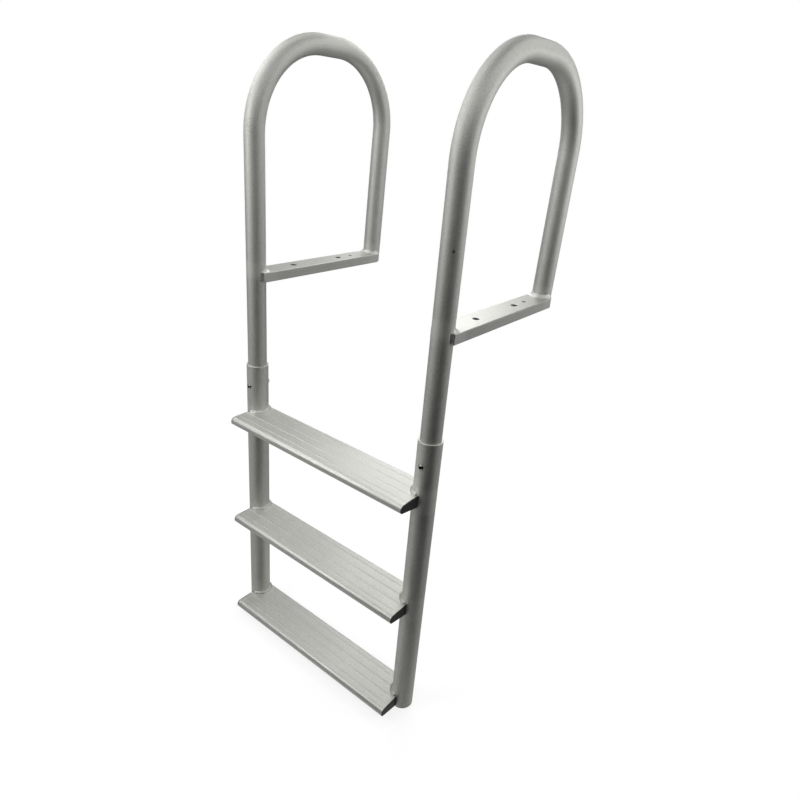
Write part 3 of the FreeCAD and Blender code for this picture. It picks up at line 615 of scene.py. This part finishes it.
ROUND_WELD = round_weld_shaper()
UPRIGHT_WELD = upright_weld_shaper()
TREAD_WELD = {
    "slope": 0.0, "tube_radius": RAIL_RADIUS, "side": 1.0, "fullness": 0.60, "turn": math.radians(175),
    "steps": 281, "ripple_pitch": 0.0021, "ripple_height": 0.00032, "taper": 0.006}
BAR_WELD = {
    "tube_radius": TUBE_RADIUS, "side": BAR_SIDE, "fullness": 0.22, "turn": math.radians(190),
    "upward": 1.0, "steps": 241, "ripple_pitch": 0.0026, "ripple_height": 0.00020, "taper": 0.010}
END_WELD = {
    "fullness": 0.35, "steps": 97, "ripple_pitch": 0.0024, "ripple_height": 0.00025, "taper": 0.003}
END_WELD_REACH = 0.0060
END_WELD_RISE = 0.0030
BAR_CORNER = 0.0010


def lay_tread_beads():
    faces = (("upper", TREAD_TOP, 1.0), ("lower", TREAD_UNDER, -1.0))
    seed = 1.0
    for side in SIDES:
        facing = 0.0 if side == "left" else math.pi
        for level, tread in enumerate(TREADS):
            for face, heights, upward in faces:
                node = "%s_tread_%s_%s_weld" % (tread, side, face)
                bead = ROUND_WELD.shape(
                    foot=(RAIL[side].x, RAIL[side].y, heights[level]), facing=facing, upward=upward,
                    leg=high_of(node).z - low_of(node).z, seed=seed, **TREAD_WELD)
                add_piece(node.replace("weld", "bead"), [bead], node)
                seed += 1


# The two upright beads between a bar's coped end and the leg that stands in it
def end_beads(leg_x, leg_y, along, slope, bar_end, seed):
    head = BAR_TOP + END_WELD_RISE
    beads = []
    for outward in (-1, 1):
        lines = {}
        for level, z in (("foot", 0.0), ("head", head)):
            centre = leg_y + slope * (z - BAR_TOP)
            end = (bar_end - centre) * along
            reach = end - END_WELD_REACH
            on_leg = math.sqrt(TUBE_RADIUS ** 2 - reach ** 2)
            rooted = math.sqrt(TUBE_RADIUS ** 2 - end ** 2) - ROOT_DEPTH
            lines["edge_" + level] = (leg_x + outward * (BAR_SIDE - BAR_CORNER), bar_end, z)
            lines["toe_" + level] = (leg_x + outward * (on_leg - ROOT_DEPTH), centre + along * reach, z)
            lines["root_" + level] = (leg_x + outward * rooted, bar_end + along * ROOT_DEPTH, z)
        beads.append(UPRIGHT_WELD.shape(length=head, seed=seed + outward, **lines, **END_WELD))
    return beads


def lay_bar_beads():
    seed = 20.0
    for side in SIDES:
        bar = "%s_mounting_bar" % side
        front = "%s_front_leg_weld" % side
        back = "%s_back_leg_weld" % side
        leg = high_of(front).z - BAR_TOP
        x = RAIL[side].x
        foot = low_of(back).y + TUBE_RADIUS + leg
        ends = (
            (front, RAIL[side].y, 1, 0.0, low_of(bar).y),
            (back, foot, -1, BACK_LEG_SLOPE, high_of(bar).y))
        for node, y, along, slope, bar_end in ends:
            bead = ROUND_WELD.shape(foot=(x, y, BAR_TOP), facing=along * math.pi / 2, slope=slope, leg=leg,
                                    seed=seed, **BAR_WELD)
            beads = [bead] + end_beads(x, y, along, slope, bar_end, seed + 3)
            add_piece(node.replace("weld", "bead"), beads, node)
            seed += 7


# The rail bolt's last threads, past the nut
THREAD_RADIUS = 0.0030
THREAD_PITCH = 0.0010
THREAD_RIDGE = 0.32 * THREAD_PITCH


def thread_shaper():
    shaper = Shaper("BoltThread", {
        "Start": "Vector", "Radius": "Float", "Pitch": "Float", "Turns": "Float", "Ridge": "Float"})
    spiral = shaper.node("GeometryNodeCurveSpiral", None, {
        "Resolution": 32, "Rotations": shaper.given("Turns"), "Start Radius": shaper.given("Radius"),
        "End Radius": shaper.given("Radius"), "Height": shaper.given("Pitch") * shaper.given("Turns")})
    ridge = shaper.node("GeometryNodeCurvePrimitiveCircle", {"mode": "RADIUS"},
                        {"Resolution": 6, "Radius": shaper.given("Ridge")})
    wound = shaper.node("GeometryNodeCurveToMesh", None,
                        {"Curve": spiral, "Profile Curve": ridge, "Fill Caps": True})
    placed = shaper.node("GeometryNodeTransform", None, {
        "Geometry": wound, "Translation": shaper.given("Start"), "Rotation": (-math.pi / 2, 0.0, 0.0)})
    shaper.close(placed, BOLT_FINISH)
    return shaper


def cut_threads():
    shaper = thread_shaper()
    for side in SIDES:
        bolt = "%s_rail_bolt" % side
        start = high_of("%s_rail_nut" % side).y - THREAD_PITCH / 2
        length = high_of(bolt).y - start - THREAD_PITCH * 0.4
        thread = shaper.shape(start=(RAIL[side].x, start, middle_of(bolt).z), radius=THREAD_RADIUS,
                              pitch=THREAD_PITCH, turns=length / THREAD_PITCH, ridge=THREAD_RIDGE)
        add_piece("%s_bolt_thread" % side, [thread])


# Stage: white floor and world, grey and black cards that only reflections see, and four soft boxes
WHITE = grey(1.0)
AMBIENT = 0.55
CARD_DISTANCE = 1.8
CARD_COLUMNS = 48
CARD_ROWS = 8
# The floor's middle takes the ladder's shadow and fades into plain white outwards
FLOOR_RADIUS = 9.0
FLOOR_EDGES = 96
FLOOR_GAP = 0.0005
FLOOR_PAPER = 0.92
FLOOR_SHADOW_SHARE = 0.35
FLOOR_SHADOW_REACH = (0.35, 1.3)
FLOOR_FILL = 0.33


# Full white where it is seen, straight or mirrored, and AMBIENT as diffuse light
def white_to_the_eye(tree):
    seen = tree.node("ShaderNodeLightPath", output="Is Camera Ray")
    mirrored = tree.node("ShaderNodeLightPath", output="Is Glossy Ray")
    through = tree.node("ShaderNodeLightPath", output="Is Transmission Ray")
    return seen.most(mirrored).most(through) * (1 - AMBIENT) + AMBIENT


def make_world():
    world = bpy.data.worlds.new("Studio")
    world.use_nodes = True
    bpy.context.scene.world = world
    sky = Tree(world.node_tree)
    sky.node_tree.nodes.clear()
    background = sky.node("ShaderNodeBackground", None, {"Color": WHITE, "Strength": white_to_the_eye(sky)})
    sky.node("ShaderNodeOutputWorld", None, {"Surface": background})


def make_floor():
    bpy.ops.mesh.primitive_circle_add(vertices=FLOOR_EDGES, radius=FLOOR_RADIUS, fill_type="NGON")
    floor = bpy.context.object
    floor.name = "floor"
    middle = Vector((CENTRE.x, CENTRE.y, LOW.z - FLOOR_GAP))
    floor.data.transform(Matrix.Translation(middle))
    floor.visible_glossy = False
    paper = Finish("FloorPaper")
    distance = paper.node("ShaderNodeVectorMath", {"operation": "DISTANCE"},
                          {0: paper.place, 1: middle}, "Value")
    shadowed = (1 - paper.step(distance, *FLOOR_SHADOW_REACH)) * FLOOR_SHADOW_SHARE
    glow = paper.node("ShaderNodeEmission", None, {"Color": WHITE, "Strength": white_to_the_eye(paper)})
    seen = paper.node("ShaderNodeLightPath", output="Is Camera Ray")
    fill = paper.node("ShaderNodeEmission", None, {"Color": WHITE, "Strength": seen * FLOOR_FILL})
    matte = paper.node("ShaderNodeBsdfDiffuse", None, {"Color": grey(FLOOR_PAPER)})
    lit = paper.node("ShaderNodeAddShader", None, {0: matte, 1: fill})
    surface = paper.node("ShaderNodeMixShader", None, {0: shadowed, 1: glow, 2: lit})
    floor.data.materials.append(paper.close(surface))


def toward(azimuth, elevation):
    turn = math.radians(azimuth)
    rise = math.radians(elevation)
    return Vector((math.sin(turn) * math.cos(rise), -math.cos(turn) * math.cos(rise), math.sin(rise)))


# A bowed card round the ladder, between two azimuths, from -Y towards +X, and two elevations
def make_card(name, azimuths, elevations, level):
    corners = []
    for column in range(CARD_COLUMNS + 1):
        for row in range(CARD_ROWS + 1):
            azimuth = azimuths[0] + (azimuths[1] - azimuths[0]) * column / CARD_COLUMNS
            elevation = elevations[0] + (elevations[1] - elevations[0]) * row / CARD_ROWS
            corners.append(CENTRE + toward(azimuth, elevation) * CARD_DISTANCE)
    faces = []
    for column in range(CARD_COLUMNS):
        for row in range(CARD_ROWS):
            first = column * (CARD_ROWS + 1) + row
            after = first + CARD_ROWS + 1
            faces.append((first, after, after + 1, first + 1))
    mesh = bpy.data.meshes.new(name)
    mesh.from_pydata(corners, [], faces)
    tone = Finish(name + "Tone")
    glow = tone.node("ShaderNodeEmission", None, {"Color": grey(level), "Strength": 1.0})
    mesh.materials.append(tone.close(glow))
    card = bpy.data.objects.new(name, mesh)
    bpy.context.scene.collection.objects.link(card)
    card.visible_camera = False
    card.visible_diffuse = False


# A square soft box, turned to the ladder's middle at the dock's level; its level is its face's own
def make_softbox(name, azimuth, distance, height, width, level):
    data = bpy.data.lights.new(name, "AREA")
    data.shape = "SQUARE"
    data.size = width
    data.energy = level * math.pi * width ** 2
    lamp = bpy.data.objects.new(name, data)
    aim = Vector((CENTRE.x, CENTRE.y, 0.0))
    lamp.location = aim + toward(azimuth, 0.0) * distance + Vector((0.0, 0.0, height))
    lamp.rotation_euler = (lamp.location - aim).to_track_quat("Z", "Y").to_euler()
    lamp.visible_camera = False
    bpy.context.scene.collection.objects.link(lamp)


# Camera at the photograph's viewing angle. Its sensor is in millimetres.
CAMERA_PLACE = Vector((0.9587, -0.9500, 0.3277))
CAMERA_AZIMUTH = 35.147
CAMERA_ELEVATION = 23.569
CAMERA_ROLL = 5.506
CAMERA_LENS = 27.89
CAMERA_SENSOR = 36.0
CAMERA_SHIFT = (-0.0184, -0.0179)


def make_camera():
    turn = math.radians(CAMERA_AZIMUTH)
    roll = math.radians(CAMERA_ROLL)
    back = toward(CAMERA_AZIMUTH, CAMERA_ELEVATION)
    level = Vector((math.cos(turn), math.sin(turn), 0))
    upright = back.cross(level)
    right = level * math.cos(roll) + upright * math.sin(roll)
    up = upright * math.cos(roll) - level * math.sin(roll)
    facing = Matrix((right, up, back)).transposed().to_4x4()
    data = bpy.data.cameras.new("Camera")
    data.sensor_width = CAMERA_SENSOR
    data.lens = CAMERA_LENS
    data.shift_x, data.shift_y = CAMERA_SHIFT
    data.clip_start = 0.01
    camera = bpy.data.objects.new("Camera", data)
    camera.matrix_world = Matrix.Translation(CAMERA_PLACE) @ facing
    bpy.context.scene.collection.objects.link(camera)
    bpy.context.scene.camera = camera


# Azimuths and elevations of each card, and its level
CARDS = {
    "CeilingLeftCard": ((-180, -60), (38, 62), 0.0),
    "HighRightCard": ((0, 180), (62, 90), 0.0),
    "WallBackLeftCard": ((-180, -90), (15, 38), 0.80),
    "WallCard": ((-90, 135), (15, 38), 0.0),
    "BackCard": ((135, 180), (-8, 38), 0.45),
    "LevelCard": ((-180, 135), (-8, 15), 0.0),
    "LowBackLeftCard": ((-180, -90), (-55, -8), 0.15),
    "LowFrontLeftCard": ((-90, 0), (-55, -8), 0.35),
    "LowFrontRightCard": ((0, 90), (-55, -8), 0.0),
    "LowBackRightCard": ((90, 180), (-55, -8), 0.25),
    "GroundCard": ((-180, 180), (-90, -55), 0.70),
}
# Azimuth of each soft box, its distance, its height above the dock, its width and its level
SOFTBOXES = {
    "BackSoftbox": (-150, 0.70, 0.60, 0.5, 3.3),
    "LeftSoftbox": (-75, 1.00, 0.90, 0.7, 2.1),
    "RightSoftbox": (120, 1.25, 0.30, 0.7, 2.1),
    "FrontSoftbox": (-30, 1.25, 0.35, 0.7, 3.0),
}


def make_stage():
    make_world()
    make_floor()
    for name, (azimuths, elevations, level) in CARDS.items():
        make_card(name, azimuths, elevations, level)
    for name, (azimuth, distance, height, width, level) in SOFTBOXES.items():
        make_softbox(name, azimuth, distance, height, width, level)


bpy.context.scene.view_settings.view_transform = "Standard"
dress_frame()
lay_tread_beads()
lay_bar_beads()
cut_threads()
make_stage()
make_camera()
